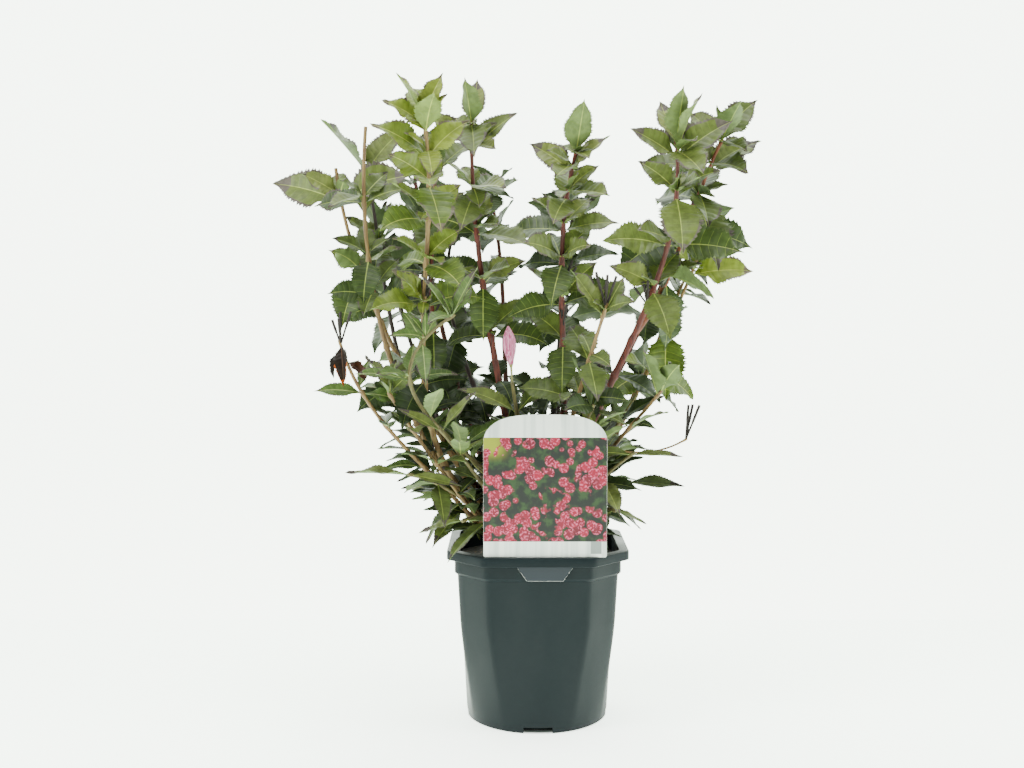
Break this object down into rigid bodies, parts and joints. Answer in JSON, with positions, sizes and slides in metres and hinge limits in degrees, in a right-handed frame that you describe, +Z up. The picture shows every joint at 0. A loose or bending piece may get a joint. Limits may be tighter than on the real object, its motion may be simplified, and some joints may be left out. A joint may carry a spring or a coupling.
{
  "type": "potted weigela shrub",
  "caption": "Young weigela shrub, many upright shoots with opposite leaves and one pink bud, in a tapered plastic nursery pot with an upright plant label.",
  "frame": {"origin": "middle of the pot's flat underside", "axes": "+Z up along the pot's axis, the label on the -Y side, +X to the right seen from the label's side"},
  "size_m": [0.5314, 0.3225, 0.6754],
  "materials": {
    "pot": "dark green-grey, slightly glossy",
    "soil": "dark moist compost",
    "label": "printed card-thin plastic",
    "stem_base": "rough bark",
    "bough": "smooth young bark",
    "foliage": "matt leaves"
  },
  "bodies": {
    "root": {"pot": "pot", "soil": "soil", "label": "label", "stem_base": "stem_base", "bough_left_outer": "bough", "bough_left_inner": "bough", "bough_left_thin": "bough", "bough_left_pale": "bough", "bough_left_straight": "bough", "bough_left_short": "bough", "bough_centre_red": "bough", "bough_middle_dark": "bough", "bough_middle_right": "bough", "bough_middle_dry": "bough", "bough_right_main": "bough", "bough_right_thin": "bough", "bough_back_far_left": "bough", "bough_back_left": "bough", "bough_back_centre": "bough", "bough_back_middle": "bough", "bough_back_right": "bough", "bough_back_outer_right": "bough", "shoot_left_outer": "foliage", "shoot_left_inner": "foliage", "shoot_left_thin": "foliage", "shoot_left_pale": "foliage", "shoot_left_straight": "foliage", "shoot_left_short": "foliage", "shoot_centre_red": "foliage", "shoot_middle_dark": "foliage", "shoot_middle_right": "foliage", "shoot_middle_dry": "foliage", "shoot_right_main": "foliage", "shoot_right_outer": "foliage", "shoot_right_thin": "foliage", "shoot_back_far_left": "foliage", "shoot_back_left": "foliage", "shoot_back_centre": "foliage", "shoot_back_middle": "foliage", "shoot_back_right": "foliage", "shoot_back_outer_right": "foliage", "shoot_left_dry": "foliage", "shoot_front_young": "foliage", "shoot_front_left": "foliage", "shoot_low_left_a": "foliage", "shoot_low_left_b": "foliage", "shoot_low_left_c": "foliage", "shoot_low_left_d": "foliage", "shoot_rim_left": "foliage", "shoot_rim_right": "foliage", "shoot_low_right_a": "foliage", "shoot_low_right_b": "foliage", "shoot_right_low": "foliage", "shoot_front_centre": "foliage", "shoot_front_right": "foliage", "shoot_mid_left": "foliage", "shoot_mid_right": "foliage", "shoot_back_low_left": "foliage", "shoot_back_low_middle": "foliage", "shoot_back_low_right": "foliage"}
  },
  "joints": []
}
